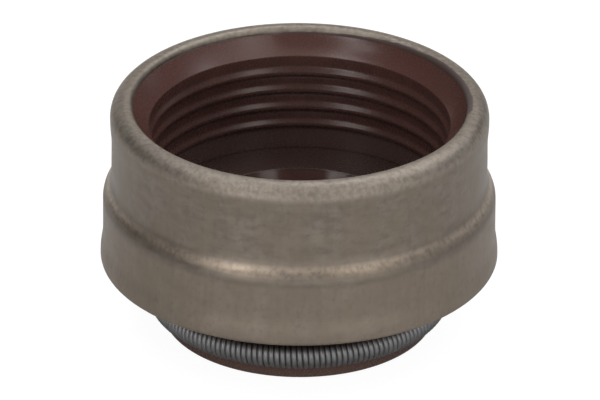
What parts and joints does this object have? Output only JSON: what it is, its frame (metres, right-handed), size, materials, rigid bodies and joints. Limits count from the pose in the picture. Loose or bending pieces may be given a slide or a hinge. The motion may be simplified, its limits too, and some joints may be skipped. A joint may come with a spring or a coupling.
{
  "type": "valve stem seal",
  "caption": "Valve stem seal: pressed steel case bonded to a moulded rubber body with a ribbed guide socket, a stem lip and a garter spring.",
  "frame": {"origin": "centre of the foot ring, on the axis, in the plane that the part stands on", "axes": "+Z along the axis, from the sealing lip up to the mouth of the guide socket"},
  "size_m": [0.0205, 0.0204, 0.0124],
  "materials": {
    "case_steel": "satin drawn sheet steel, lightly mottled",
    "seal_rubber": "smooth moulded fluoro rubber, dark brown",
    "spring_steel": "bare spring wire, semi-bright"
  },
  "bodies": {
    "root": {"metal_case": "case_steel", "rubber_body": "seal_rubber", "garter_spring": "spring_steel"}
  },
  "joints": []
}
